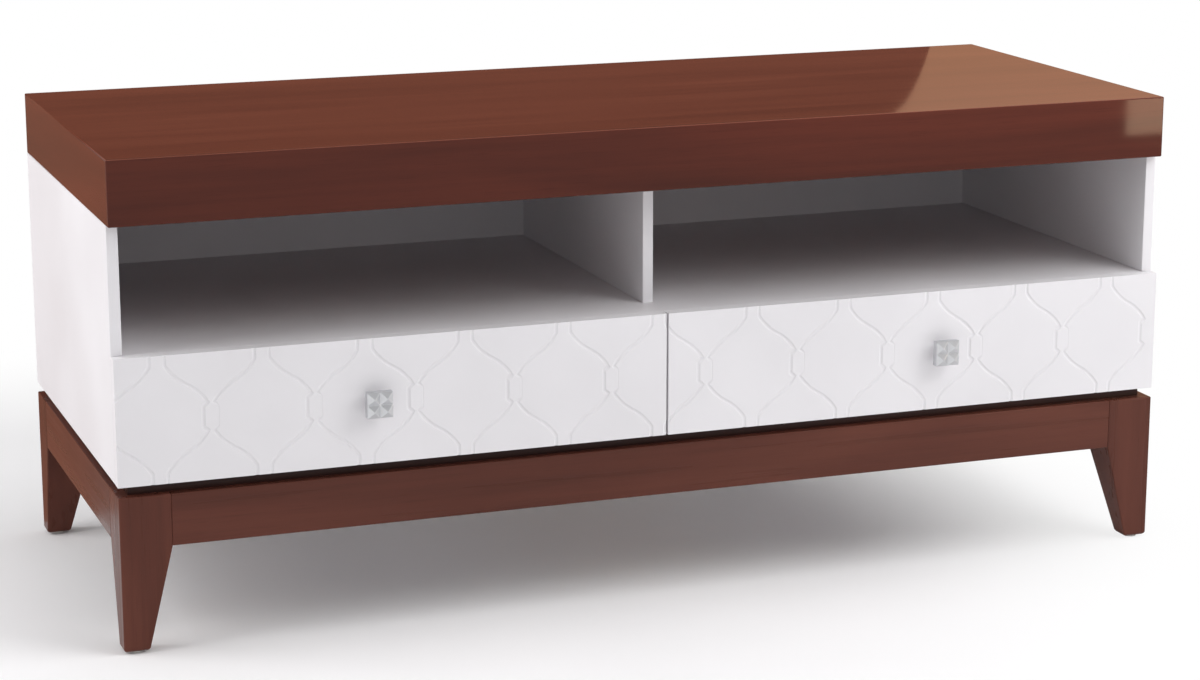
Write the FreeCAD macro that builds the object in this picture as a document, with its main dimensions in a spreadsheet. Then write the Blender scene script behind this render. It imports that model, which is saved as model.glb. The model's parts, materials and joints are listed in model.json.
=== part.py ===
# Low two-tone media credenza with a thick mitred top, two open bays, two drawers and a leg frame.
# Millimetres. X runs along the length, Y from front to back and Z up, from the middle of the floor.
import FreeCAD, Part
import os
import re

import Sketcher

# Driving dimensions, one cell each in the sheet
SIZES = {
    # outside of the body, from the floor up
    "width": 1300,
    "depth": 510,
    "rail_underside": 122,
    "rail_height": 60,
    "spacer_height": 12,
    "front_height": 146,
    "bay_height": 146,
    "top_thickness": 74,
    # lacquered carcass
    "panel": 13,
    "housing": 5,
    "fit_gap": 0.2,
    "back_board": 6,
    "back_setback": 3,
    "divider_setback": 51,
    # built-up top
    "top_board": 22,
    "underside_board": 6,
    "batten": 18,
    "batten_spacing": 310,
    "top_tongue": 5,
    "top_tongue_height": 6,
    "top_tongue_stop": 40,
    # leg frame
    "leg_width": 59,
    "leg_depth": 54,
    "foot_width": 30,
    "foot_depth": 26,
    "foot_chamfer": 2.5,
    "glide_radius": 8,
    "glide_height": 2.5,
    "rail_thickness": 22,
    "tenon_length": 26,
    "tenon_thickness": 9,
    "tenon_shoulder": 9,
    "cross_rail_width": 40,
    "cross_rail_height": 36,
    "cross_housing": 8,
    "block_reach": 128,
    "block_height": 34,
    "spacer_recess": 12.6,
    "spacer_margin": 24,
    # drawers
    "front_board": 13,
    "front_gap": 1,
    "centre_gap": 2.6,
    "box_board": 12,
    "box_lift": 15,
    "box_headroom": 17,
    "box_rear_gap": 36,
    "box_rebate": 6,
    "bottom_board": 4,
    "bottom_lift": 12,
    "bottom_groove": 6,
    # roller runners
    "runner_space": 12.7,
    "steel": 1.2,
    "channel_reach": 9.4,
    "channel_rise": 2,
    "channel_setback": 3,
    "runner_lip": 9,
    "runner_tip_gap": 2.8,
    "running_gap": 0.35,
    "roller_radius": 9,
    "roller_width": 6,
    "roller_inset": 16,
    "roller_stand": 0.7,
    "axle_radius": 2.5,
    "axle_gap": 0.08,
    "axle_head_radius": 4,
    "axle_head": 0.8,
    # knobs
    "knob_size": 30,
    "knob_block": 9,
    "facet_height": 5,
    "facet_flat": 0.8,
    "knob_cell": 3,
    "stem_radius": 7,
    "stem_length": 11,
    "spigot_radius": 4,
    "spigot_length": 5,
    # lantern trellis milled in the drawer fronts
    "trellis_cells": 11,
    "trellis_shift": -11.5,
    "neck_half": 8.6,
    "neck_start": 61,
    "shoulder_half": 56,
    "shoulder_rise": 16,
    "side_half": 50.5,
    "side_rise": 12,
    "ogee_sag": 2,
    "groove_width": 3.6,
    "groove_depth": 1,
}

# Places worked out from the driving dimensions
LAYOUT = {
    "half_width": "width / 2",
    "knob_reach": "stem_length + knob_block + facet_height",
    "front_plane": "(knob_reach - depth) / 2",
    "back_plane": "front_plane + depth",
    "rail_top": "rail_underside + rail_height",
    "carcass_low": "rail_top + spacer_height",
    "floor_top": "carcass_low + panel",
    "shelf_top": "carcass_low + front_height",
    "shelf_low": "shelf_top - panel",
    "carcass_top": "shelf_top + bay_height",
    "top_face": "carcass_top + top_thickness",
    "carcass_front": "front_plane + front_board + front_gap",
    "inner_back": "back_plane - back_setback - back_board",
    "carcass_depth": "back_plane - carcass_front",
    "inner_depth": "inner_back - carcass_front",
    "inner_half": "half_width - panel",
    "drawer_bay": "inner_half - panel / 2",
    "drawer_centre": "(inner_half + panel / 2) / 2",
    "front_middle": "carcass_low + front_height / 2",
    "front_length": "half_width - centre_gap / 2",
    "box_width": "drawer_bay - 2 * runner_space",
    "box_low": "floor_top + box_lift",
    "box_height": "shelf_low - box_headroom - box_low",
    "box_face": "front_plane + front_board",
    "box_tail": "inner_back - box_rear_gap",
    "box_length": "box_tail - box_face",
    "track_low": "box_low + channel_rise",
    "run_low": "track_low + 2 * roller_radius + 3 * running_gap",
    "run_high": "run_low + steel",
    "track_high": "run_high + 2 * running_gap",
    "channel_front": "carcass_front + channel_setback",
    "channel_length": "box_tail - channel_front",
    "front_axle_y": "channel_front + roller_inset",
    "front_axle_z": "run_low - running_gap - roller_radius",
    "rear_axle_y": "box_tail - roller_inset",
    "rear_axle_z": "track_low + running_gap + roller_radius",
    "spacer_width": "leg_width + spacer_margin - spacer_recess",
    "cell_pitch": "width / trellis_cells",
    "knob_x": "half_width - (knob_cell - 0.5) * cell_pitch",
}

doc = FreeCAD.newDocument("credenza")
sheet = doc.addObject("Spreadsheet::Sheet", "Sizes")
for row, (alias, value) in enumerate(SIZES.items(), start=1):
    sheet.set(f"A{row}", alias)
    sheet.set(f"B{row}", str(value))
    sheet.setAlias(f"B{row}", alias)
doc.recompute()


def formula(text, own_names=False):
    """The text with each size and place written as a reference to the sheet or the layout."""
    def reference(match):
        word = match.group(0)
        if word in SIZES:
            return f"Sizes.{word}"
        if word in LAYOUT and not own_names:
            return f"Layout.{word}"
        return word
    return re.sub(r"[a-z_]+", reference, str(text))


layout = doc.addObject("App::VarSet", "Layout")
for place in LAYOUT:
    layout.addProperty("App::PropertyFloat", place)
for place, text in LAYOUT.items():
    layout.setExpression(place, formula(text, own_names=True))
doc.recompute()


def number(name):
    """The present value of one size or place."""
    return float(sheet.get(name)) if name in SIZES else getattr(layout, name)


pieces = {}


def bind(made, **texts):
    for prop, text in texts.items():
        made.setExpression(prop, formula(text))
    return made


def put(made, x=0, y=0, z=0):
    for axis, text in zip("xyz", (x, y, z)):
        made.setExpression(f"Placement.Base.{axis}", formula(text))
    return made


def box(name, corner, lengths):
    made = doc.addObject("Part::Box", name)
    bind(made, Length=lengths[0], Width=lengths[1], Height=lengths[2])
    return put(made, *corner)


# Axis and angle that turn an upright cylinder to lie along each direction
TURNS = {
    "x": ((0, 1, 0), 90),
    "-x": ((0, 1, 0), -90),
    "-y": ((1, 0, 0), 90),
    "z": ((0, 0, 1), 0),
}


def cylinder(name, foot, radius, length, along="z"):
    made = doc.addObject("Part::Cylinder", name)
    bind(made, Radius=radius, Height=length)
    axis, angle = TURNS[along]
    made.Placement.Rotation = FreeCAD.Rotation(FreeCAD.Vector(*axis), angle)
    return put(made, *foot)


def fuse(name, *shapes):
    made = doc.addObject("Part::MultiFuse", name)
    made.Shapes = list(shapes)
    made.Refine = True
    return made


def cut(name, base, *tools):
    made = doc.addObject("Part::Cut", name)
    made.Base = base
    made.Tool = tools[0] if len(tools) == 1 else compound(f"{name}_tools", *tools)
    return made


def compound(name, *shapes):
    made = doc.addObject("Part::Compound", name)
    made.Links = list(shapes)
    return made


def piece(label, made):
    made.Label = label
    pieces[label] = made
    return made


def outline(body, plane, corners, height="0"):
    """A closed sketch on one of the body's origin planes, each corner bound to two formulas."""
    sketch = body.newObject("Sketcher::SketchObject", f"{body.Name}_outline")
    support = [origin for origin in body.Origin.OriginFeatures if origin.Role == plane][0]
    sketch.AttachmentSupport = [(support, "")]
    sketch.MapMode = "FlatFace"
    sketch.setExpression("AttachmentOffset.Base.z", formula(height))
    count = len(corners)
    rough = [FreeCAD.Vector(index, index * index, 0) for index in range(count + 1)]
    for index in range(count):
        sketch.addGeometry(Part.LineSegment(rough[index], rough[index + 1]), False)
    for index in range(count):
        sketch.addConstraint(Sketcher.Constraint("Coincident", index, 2, (index + 1) % count, 1))
    for index, corner in enumerate(corners):
        for kind, text in zip(("DistanceX", "DistanceY"), corner):
            constraint = sketch.addConstraint(Sketcher.Constraint(kind, -1, 1, index, 1, 1.0 + index))
            sketch.setExpression(f"Constraints[{constraint}]", formula(text))
    return sketch


def pad(body, sketch, length, reverse=False):
    made = body.newObject("PartDesign::Pad", f"{body.Name}_pad")
    made.Profile = sketch
    made.Reversed = reverse
    return bind(made, Length=length)


# Tongues on the side panels that locate the top in grooves under its end boards
def top_tongue(side, sign, gap, name):
    x = f"{sign} * (half_width - panel / 2) - top_tongue / 2 - {gap}"
    y = f"carcass_front + top_tongue_stop - {gap}"
    run = f"carcass_depth - 2 * top_tongue_stop + 2 * {gap}"
    lengths = (f"top_tongue + 2 * {gap}", run, f"top_tongue_height + {gap}")
    return box(f"{name}_{side}", (x, y, "carcass_top"), lengths)


# Thick top: five boards mitred along every outer edge, closed underneath, with battens inside
def wedge(label, near, far, axis, angle):
    """A solid between two rectangles, each given as x low, x high, y, z low and z high, then turned."""
    made = doc.addObject("Part::Wedge", label)
    bind(made, Xmin=near[0], Xmax=near[1], Ymin=near[2], Zmin=near[3], Zmax=near[4])
    bind(made, X2min=far[0], X2max=far[1], Ymax=far[2], Z2min=far[3], Z2max=far[4])
    made.Placement.Rotation = FreeCAD.Rotation(FreeCAD.Vector(*axis), angle)
    return made


def build_top():
    inner = "half_width - top_board"
    inner_top = "top_face - top_board"
    long_outer = ["-half_width", "half_width", "front_plane", "carcass_top", "top_face"]
    long_inner = [f"-({inner})", inner, "front_plane + top_board", "carcass_top", inner_top]
    piece("top_edge_front", wedge("top_edge_front", long_outer, long_inner, (0, 0, 1), 0))
    back_outer = ["-half_width", "half_width", "back_plane", "carcass_top", "top_face"]
    back_inner = [f"-({inner})", inner, "back_plane - top_board", "carcass_top", inner_top]
    piece("top_edge_back", wedge("top_edge_back", back_inner, back_outer, (0, 0, 1), 0))
    ends = (("left", -1, "front_plane", "back_plane"), ("right", 1, "-back_plane", "-front_plane"))
    for side, sign, low, high in ends:
        outer = [low, high, "half_width", "carcass_top", "top_face"]
        inside = [f"{low} + top_board", f"{high} - top_board", inner, "carcass_top", inner_top]
        board = wedge(f"top_edge_{side}_board", inside, outer, (0, 0, 1), -90 * sign)
        groove = top_tongue(side, sign, "fit_gap", "top_groove")
        piece(f"top_edge_{side}", cut(f"top_edge_{side}", board, groove))
    under = [f"-({inner})", inner, inner_top, "-back_plane + top_board", "-front_plane - top_board"]
    over = ["-half_width", "half_width", "top_face", "-back_plane", "-front_plane"]
    piece("top_deck", wedge("top_deck", under, over, (1, 0, 0), 90))
    low_corner = (f"-({inner})", "front_plane + top_board", "carcass_top")
    hollow_depth = "depth - 2 * top_board"
    closing = (f"2 * ({inner})", hollow_depth, "underside_board")
    piece("top_underside", box("top_underside", low_corner, closing))
    battens = []
    for step in (-1, 0, 1):
        x = f"{step} * batten_spacing - batten / 2"
        corner = (x, "front_plane + top_board", "carcass_top + underside_board")
        lengths = ("batten", hollow_depth, "top_thickness - top_board - underside_board")
        battens.append(box(f"batten_{step + 1}", corner, lengths))
    piece("top_battens", compound("top_battens", *battens))


# Carcass: housed panels round two open bays and two drawer spaces
def build_carcass():
    height = "carcass_top - carcass_low"
    for side, sign in (("left", -1), ("right", 1)):
        outer = "-half_width" if sign < 0 else "inner_half"
        corner = (outer, "carcass_front", "carcass_low")
        board = box(f"side_{side}_board", corner, ("panel", "carcass_depth", height))
        tongued = fuse(f"side_{side}_tongued", board, top_tongue(side, sign, "0", "top_tongue"))
        slot_x = "-inner_half - housing" if sign < 0 else "inner_half"
        slots = {
            "back": ("inner_back", "carcass_low", "back_board + fit_gap", height),
            "shelf": ("carcass_front", "shelf_low - fit_gap", "inner_depth", "panel + 2 * fit_gap"),
            "floor": ("carcass_front", "carcass_low", "inner_depth", "panel + fit_gap"),
        }
        tools = []
        for name, (y, z, along, up) in slots.items():
            tools.append(box(f"side_{side}_{name}_slot", (slot_x, y, z), ("housing", along, up)))
        piece(f"side_panel_{side}", cut(f"side_panel_{side}", tongued, *tools))

    reach = "(inner_half + housing - fit_gap)"
    level = (f"2 * {reach}", "inner_depth", "panel")

    def post_slot(name, y, z):
        slot_lengths = ("panel + 2 * fit_gap", "inner_depth", "housing")
        return box(name, ("-panel / 2 - fit_gap", y, f"{z} - housing / 2"), slot_lengths)

    shelf = box("shelf_board", (f"-{reach}", "carcass_front", "shelf_low"), level)
    divider_slot = post_slot("shelf_divider_slot", "carcass_front + divider_setback - fit_gap", "shelf_top")
    partition_slot = post_slot("shelf_partition_slot", "carcass_front", "shelf_low")
    piece("bay_shelf", cut("bay_shelf", shelf, divider_slot, partition_slot))
    floor = box("floor_board", (f"-{reach}", "carcass_front", "carcass_low"), level)
    floor_slot = post_slot("floor_partition_slot", "carcass_front", "floor_top")
    piece("bottom_panel", cut("bottom_panel", floor, floor_slot))

    tongue = "housing / 2 - fit_gap"
    boards = {
        "bay_divider": (
            ("-panel / 2", "carcass_front + divider_setback", f"shelf_top - ({tongue})"),
            ("panel", "inner_depth - divider_setback", f"bay_height + {tongue}"),
        ),
        "drawer_partition": (
            ("-panel / 2", "carcass_front", f"floor_top - ({tongue})"),
            ("panel", "inner_depth", f"shelf_low - floor_top + 2 * ({tongue})"),
        ),
        "back_panel": ((f"-{reach}", "inner_back", "carcass_low"), (f"2 * {reach}", "back_board", height)),
    }
    for name, (corner, lengths) in boards.items():
        piece(name, box(name, corner, lengths))


# Leg frame: each corner is laid out from the outer corner of the leg, inwards along X and Y
CORNERS = {
    "front_left": (1, 1),
    "front_right": (-1, 1),
    "back_left": (1, -1),
    "back_right": (-1, -1),
}


def corner_place(toward_x, toward_y):
    return (f"{-toward_x} * half_width", "front_plane" if toward_y > 0 else "back_plane")


def inside(start, toward, reach, length):
    """Low end of a stretch that starts a reach inside an outer face."""
    return f"{start} + {reach}" if toward > 0 else f"{start} - ({reach}) - ({length})"


def leg_section(start, toward, height, sizes, inset):
    """Level rectangle of a leg, laid on its side for an upright wedge."""
    x = inside(start[0], toward[0], inset, sizes[0])
    y = inside(start[1], toward[1], inset, sizes[1])
    return [x, f"{x} + {sizes[0]}", height, f"-({y}) - ({sizes[1]})", f"-({y})"]


def tapered_leg(corner, start, toward):
    """Straight where the rails join it, then tapered on its two inner faces down to an eased foot."""
    tip = ("foot_width - 2 * foot_chamfer", "foot_depth - 2 * foot_chamfer")
    levels = [
        leg_section(start, toward, "glide_height", tip, "foot_chamfer"),
        leg_section(start, toward, "glide_height + foot_chamfer", ("foot_width", "foot_depth"), "0"),
        leg_section(start, toward, "rail_underside", ("leg_width", "leg_depth"), "0"),
        leg_section(start, toward, "rail_top", ("leg_width", "leg_depth"), "0"),
    ]
    tiers = []
    for index, (low, high) in enumerate(zip(levels, levels[1:])):
        tiers.append(wedge(f"leg_{corner}_tier_{index}", low, high, (1, 0, 0), 90))
    return fuse(f"leg_{corner}_tiers", *tiers)


def mortise(name, start_x, start_y, toward_x, toward_y, along):
    """A blind slot for one rail tenon; the rail's outer face lies flush with the leg's."""
    cheek = "(rail_thickness - tenon_thickness) / 2 - fit_gap"
    wide = "tenon_thickness + 2 * fit_gap"
    deep = "tenon_length + fit_gap"
    if along == "x":
        x = inside(start_x, toward_x, f"leg_width - ({deep})", deep)
        corner = (x, inside(start_y, toward_y, cheek, wide))
        lengths = (deep, wide)
    else:
        y = inside(start_y, toward_y, f"leg_depth - ({deep})", deep)
        corner = (inside(start_x, toward_x, cheek, wide), y)
        lengths = (wide, deep)
    z = "rail_underside + tenon_shoulder - fit_gap"
    return box(name, (*corner, z), (*lengths, "rail_height - 2 * tenon_shoulder + 2 * fit_gap"))


def build_legs():
    blocks = []
    glides = []
    for corner, (toward_x, toward_y) in CORNERS.items():
        start = corner_place(toward_x, toward_y)
        toward = (toward_x, toward_y)
        slots = [mortise(f"leg_{corner}_mortise_{along}", *start, *toward, along) for along in "xy"]
        piece(f"leg_{corner}", cut(f"leg_{corner}", tapered_leg(corner, start, toward), *slots))
        x = f"{start[0]} + {toward_x} * foot_width / 2"
        y = f"{start[1]} + {toward_y} * foot_depth / 2"
        glides.append(cylinder(f"glide_{corner}", (x, y, "0"), "glide_radius", "glide_height"))
        blocks.append(corner_block(corner, start, toward_x, toward_y))
    piece("foot_glides", compound("foot_glides", *glides))
    piece("corner_blocks", compound("corner_blocks", *blocks))


def corner_block(corner, start, toward_x, toward_y):
    """Five-sided block that fills the corner behind a leg and braces both rails."""
    body = doc.addObject("PartDesign::Body", f"block_{corner}_body")
    put(body, *start, 0)
    plan = [
        ("leg_width", "rail_thickness"),
        ("block_reach", "rail_thickness"),
        ("rail_thickness", "block_reach"),
        ("rail_thickness", "leg_depth"),
        ("leg_width", "leg_depth"),
    ]
    corners = [(f"{toward_x} * {x}", f"{toward_y} * {y}") for x, y in plan]
    pad(body, outline(body, "XY_Plane", corners, "rail_top - block_height"), "block_height")
    return body


def build_rails():
    tenon_z = "rail_underside + tenon_shoulder"
    tenon_height = "rail_height - 2 * tenon_shoulder"
    cheek = "(rail_thickness - tenon_thickness) / 2"
    between_x = "(half_width - leg_width)"
    for name, toward in (("front", 1), ("back", -1)):
        plane = f"{name}_plane"
        y = inside(plane, toward, "0", "rail_thickness")
        bar_lengths = (f"2 * {between_x}", "rail_thickness", "rail_height")
        bar = box(f"rail_{name}_bar", (f"-{between_x}", y, "rail_underside"), bar_lengths)
        tenon_corner = (f"-{between_x} - tenon_length", f"{y} + {cheek}", tenon_z)
        tenon_lengths = (f"2 * {between_x} + 2 * tenon_length", "tenon_thickness", tenon_height)
        tenon = box(f"rail_{name}_tenon", tenon_corner, tenon_lengths)
        slot_y = inside(plane, toward, "rail_thickness - cross_housing", "cross_housing")
        slot_corner = ("-cross_rail_width / 2 - fit_gap", slot_y, "rail_top - cross_rail_height - fit_gap")
        slot_lengths = ("cross_rail_width + 2 * fit_gap", "cross_housing", "cross_rail_height + fit_gap")
        slot = box(f"rail_{name}_slot", slot_corner, slot_lengths)
        piece(f"rail_{name}", cut(f"rail_{name}", fuse(f"rail_{name}_with_tenons", bar, tenon), slot))
    between_y = "depth - 2 * leg_depth"
    for name, toward in (("left", 1), ("right", -1)):
        x = inside(f"{-toward} * half_width", toward, "0", "rail_thickness")
        y = "front_plane + leg_depth"
        bar = box(f"rail_{name}_bar", (x, y, "rail_underside"), ("rail_thickness", between_y, "rail_height"))
        tenon_lengths = ("tenon_thickness", f"{between_y} + 2 * tenon_length", tenon_height)
        tenon = box(f"rail_{name}_tenon", (f"{x} + {cheek}", f"{y} - tenon_length", tenon_z), tenon_lengths)
        piece(f"rail_{name}", fuse(f"rail_{name}", bar, tenon))
    seat = "rail_thickness - cross_housing + fit_gap"
    corner = ("-cross_rail_width / 2", f"front_plane + {seat}", "rail_top - cross_rail_height")
    lengths = ("cross_rail_width", f"depth - 2 * ({seat})", "cross_rail_height")
    piece("cross_rail", box("cross_rail", corner, lengths))


def build_spacers():
    """Dark strips between the leg frame and the carcass, set back from every outer face."""
    length = "width - 2 * spacer_recess"
    left = "-half_width + spacer_recess"
    across = "depth - 2 * spacer_recess - 2 * spacer_width"
    second_row = "front_plane + spacer_recess + spacer_width"
    strips = {
        "front": ((left, "front_plane + spacer_recess"), (length, "spacer_width")),
        "back": ((left, "back_plane - spacer_recess - spacer_width"), (length, "spacer_width")),
        "left": ((left, second_row), ("spacer_width", across)),
        "right": (("half_width - spacer_recess - spacer_width", second_row), ("spacer_width", across)),
        "middle": (("-cross_rail_width / 2", second_row), ("cross_rail_width", across)),
    }
    laid = []
    for name, (corner, lengths) in strips.items():
        laid.append(box(f"spacer_{name}_strip", (*corner, "rail_top"), (*lengths, "spacer_height")))
    piece("spacer_strips", compound("spacer_strips", *laid))


# Roller runners: a fixed channel and a drawer runner, each with one nylon roller on a riveted axle
def extrusion(name, corners, front, length):
    body = doc.addObject("PartDesign::Body", f"{name}_body")
    put(body, 0, front, 0)
    pad(body, outline(body, "XZ_Plane", corners), length, reverse=True)
    return body


def axle(name, wall, away, y, z):
    """Rivet standing out from a steel web, with a flat head that keeps its roller on."""
    along = "x" if away > 0 else "-x"
    stem = "roller_stand + roller_width + roller_stand"
    pin = cylinder(f"{name}_pin", (wall, y, z), "axle_radius", f"{stem} + axle_head", along)
    tip = f"{wall} + {away} * ({stem})"
    head = cylinder(f"{name}_head", (tip, y, z), "axle_head_radius", "axle_head", along)
    return pin, head


def roller(name, wall, away, y, z):
    along = "x" if away > 0 else "-x"
    foot = (f"{wall} + {away} * roller_stand", y, z)
    wheel = cylinder(f"{name}_wheel", foot, "roller_radius", "roller_width", along)
    bore = cylinder(f"{name}_bore", foot, "axle_radius + axle_gap", "roller_width", along)
    return cut(name, wheel, bore)


def build_runners(hand, centre):
    """Both channels, both runners and the four rollers of one drawer."""
    front_rollers = []
    rear_rollers = []
    runners = []
    for side, away in (("left", 1), ("right", -1)):
        name = f"{hand}_{side}"
        wall = f"({centre} - {away} * drawer_bay / 2)"

        def across(*texts):
            return [(f"{wall} + {away} * ({x})", z) for x, z in texts]

        section = across(
            ("0", "track_low - steel"),
            ("channel_reach", "track_low - steel"),
            ("channel_reach", "track_low"),
            ("steel", "track_low"),
            ("steel", "track_high"),
            ("channel_reach", "track_high"),
            ("channel_reach", "track_high + steel"),
            ("0", "track_high + steel"),
        )
        channel = extrusion(f"{name}_channel", section, "channel_front", "channel_length")
        front_wall = f"{wall} + {away} * steel"
        pin, head = axle(f"{name}_front_axle", front_wall, away, "front_axle_y", "front_axle_z")
        piece(f"{hand}_drawer_channel_{side}", fuse(f"{name}_channel_set", channel, pin, head))
        wheel = roller(f"{name}_front_roller", front_wall, away, "front_axle_y", "front_axle_z")
        front_rollers.append(wheel)
        web = "runner_space - steel"
        lip = "runner_space + runner_lip"
        section = across(
            (lip, "box_low - steel"),
            (lip, "box_low"),
            ("runner_space", "box_low"),
            ("runner_space", "run_high"),
            ("runner_tip_gap", "run_high"),
            ("runner_tip_gap", "run_low"),
            (web, "run_low"),
            (web, "box_low - steel"),
        )
        runner = extrusion(f"{name}_runner", section, "box_face", "box_length")
        rear_wall = f"{wall} + {away} * ({web})"
        pin, head = axle(f"{name}_rear_axle", rear_wall, -away, "rear_axle_y", "rear_axle_z")
        piece(f"{hand}_runner_{side}", fuse(f"{name}_runner_set", runner, pin, head))
        rear_rollers.append(roller(f"{name}_rear_roller", rear_wall, -away, "rear_axle_y", "rear_axle_z"))
    piece(f"{hand}_front_rollers", compound(f"{hand}_front_rollers", *front_rollers))
    piece(f"{hand}_rear_rollers", compound(f"{hand}_rear_rollers", *rear_rollers))


# Lantern trellis: a row of closed cells whose necks run past the upper and lower edge of the fronts
def lantern_outline(centre):
    """One cell drawn flat in X and Y, each side made of two ogees that meet in a short straight waist."""
    rise = number("front_height") / 2 + number("groove_width")
    neck = FreeCAD.Vector(number("neck_half"), number("neck_start"), 0)
    shoulder = FreeCAD.Vector(number("shoulder_half"), number("shoulder_rise"), 0)
    waist = FreeCAD.Vector(number("side_half"), number("side_rise"), 0)
    end = FreeCAD.Vector(neck.x, rise, 0)
    middle = (neck + shoulder) / 2
    span = shoulder - neck
    bulge = FreeCAD.Vector(-span.y, span.x, 0).normalize() * number("ogee_sag")

    def side(hand, flip):
        def spot(point):
            return FreeCAD.Vector(centre + hand * point.x, flip * point.y, 0)

        return [
            Part.LineSegment(spot(end), spot(neck)),
            Part.Arc(spot(neck), spot((neck + middle) / 2 - bulge), spot(middle)),
            Part.Arc(spot(middle), spot((middle + shoulder) / 2 + bulge), spot(shoulder)),
            Part.LineSegment(spot(shoulder), spot(waist)),
            Part.LineSegment(spot(waist), spot(FreeCAD.Vector(waist.x, 0, 0))),
        ]

    curves = [curve for hand in (1, -1) for flip in (1, -1) for curve in side(hand, flip)]
    for flip in (1, -1):
        height = flip * rise
        left_end = FreeCAD.Vector(centre - neck.x, height, 0)
        curves.append(Part.LineSegment(left_end, FreeCAD.Vector(centre + neck.x, height, 0)))
    return Part.Wire(Part.__sortEdges__([curve.toShape() for curve in curves]))


def trellis_grooves(hand):
    """The grooves of one drawer front as one cutting tool, a band along the outline of every cell."""
    pitch = number("cell_pitch")
    half_groove = number("groove_width") / 2
    bands = []
    for cell in range(int(number("trellis_cells"))):
        centre = (cell + 0.5) * pitch - number("half_width") + number("trellis_shift")
        if (centre + hand * number("shoulder_half")) * hand > 0:
            line = lantern_outline(centre)
            outer = Part.Face(line.makeOffset2D(half_groove, join=2))
            inner = Part.Face(line.makeOffset2D(-half_groove, join=2))
            bands.append(outer.cut(inner).rotated(FreeCAD.Vector(), FreeCAD.Vector(1, 0, 0), 90))
    depth = number("groove_depth")
    tool = doc.addObject("Part::Feature", f"trellis_{'right' if hand > 0 else 'left'}")
    tool.Shape = Part.Compound([band.extrude(FreeCAD.Vector(0, 2 * depth, 0)) for band in bands])
    tool.Placement.Base = FreeCAD.Vector(0, number("front_plane") - depth, number("front_middle"))
    return tool


def build_knob(name, x):
    """Square head with four pyramid facets, socketed on a turned stem that stands on the front."""
    z = "front_middle"
    half = "knob_size / 2"
    back = "front_plane - stem_length"
    block_corner = (f"{x} - {half}", f"{back} - knob_block", f"{z} - {half}")
    block = box(f"{name}_block", block_corner, ("knob_size", "knob_block", "knob_size"))
    facets = []
    for column in (-1, 1):
        for row in (-1, 1):
            middle_x = f"{x} + {column} * knob_size / 4"
            middle_z = f"{z} + {row} * knob_size / 4"
            facet = doc.addObject("Part::Wedge", f"{name}_facet")
            bind(facet, Ymin="front_plane - knob_reach", Ymax=f"{back} - knob_block")
            bind(facet, Xmin=f"{middle_x} - facet_flat / 2", Xmax=f"{middle_x} + facet_flat / 2")
            bind(facet, Zmin=f"{middle_z} - facet_flat / 2", Zmax=f"{middle_z} + facet_flat / 2")
            bind(facet, X2min=f"{middle_x} - knob_size / 4", X2max=f"{middle_x} + knob_size / 4")
            bind(facet, Z2min=f"{middle_z} - knob_size / 4", Z2max=f"{middle_z} + knob_size / 4")
            facets.append(facet)
    socket_sizes = ("spigot_radius + fit_gap / 2", "spigot_length + fit_gap")
    socket = cylinder(f"{name}_socket", (x, back, z), *socket_sizes, "-y")
    piece(f"{name}_head", cut(f"{name}_head", fuse(f"{name}_faceted", block, *facets), socket))
    neck = cylinder(f"{name}_neck", (x, "front_plane", z), "stem_radius", "stem_length", "-y")
    spigot = cylinder(f"{name}_spigot", (x, back, z), "spigot_radius", "spigot_length", "-y")
    piece(f"{name}_stem", fuse(f"{name}_stem", neck, spigot))


def build_drawer(hand, sign):
    """Trellis front on a grooved box with a thin bottom."""
    centre = f"{sign} * drawer_centre"
    knob = f"{sign} * knob_x"
    left_edge = "-half_width" if sign < 0 else "centre_gap / 2"
    front_lengths = ("front_length", "front_board", "front_height")
    board = box(f"{hand}_front_board", (left_edge, "front_plane", "carcass_low"), front_lengths)
    piece(f"{hand}_drawer_front", cut(f"{hand}_drawer_front", board, trellis_grooves(sign)))
    low_x = f"{centre} - box_width / 2"
    high_x = f"{centre} + box_width / 2"
    inner_width = "box_width - 2 * box_board"
    inner_length = "box_length - 2 * box_board"

    def bottom_sheet(name, sunk, gap):
        corner = (f"{low_x} + box_board - ({sunk})", f"box_face + box_board - ({sunk})")
        spread = (f"{inner_width} + 2 * ({sunk})", f"{inner_length} + 2 * ({sunk})")
        return box(name, (*corner, f"box_low + bottom_lift - {gap}"), (*spread, f"bottom_board + 2 * {gap}"))

    groove = bottom_sheet(f"{hand}_bottom_groove", "bottom_groove", "fit_gap")
    piece(f"{hand}_box_bottom", bottom_sheet(f"{hand}_box_bottom", "bottom_groove - fit_gap", "0"))
    tongue = "box_rebate - fit_gap"
    ends = {"front": "box_face", "back": "box_tail - box_board"}
    for end, y in ends.items():
        span = (f"{inner_width} + 2 * ({tongue})", "box_board", "box_height")
        end_board = box(f"{hand}_{end}_board", (f"{low_x} + box_board - ({tongue})", y, "box_low"), span)
        piece(f"{hand}_box_{end}", cut(f"{hand}_box_{end}", end_board, groove))
    rebates = []
    for end, y in (("front", "box_face"), ("back", "box_tail - box_board - fit_gap")):
        corner = (f"{low_x} + box_board - box_rebate", y, "box_low")
        lengths = (f"{inner_width} + 2 * box_rebate", "box_board + fit_gap", "box_height")
        rebates.append(box(f"{hand}_{end}_rebate", corner, lengths))
    for side, x in (("left", low_x), ("right", f"{high_x} - box_board")):
        lengths = ("box_board", "box_length", "box_height")
        side_board = box(f"{hand}_{side}_side_board", (x, "box_face", "box_low"), lengths)
        piece(f"{hand}_box_{side}", cut(f"{hand}_box_{side}", side_board, groove, *rebates))
    build_knob(f"{hand}_knob", knob)
    build_runners(hand, centre)


build_top()
build_carcass()
build_legs()
build_rails()
build_spacers()
build_drawer("left", -1)
build_drawer("right", 1)
doc.recompute()

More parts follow.
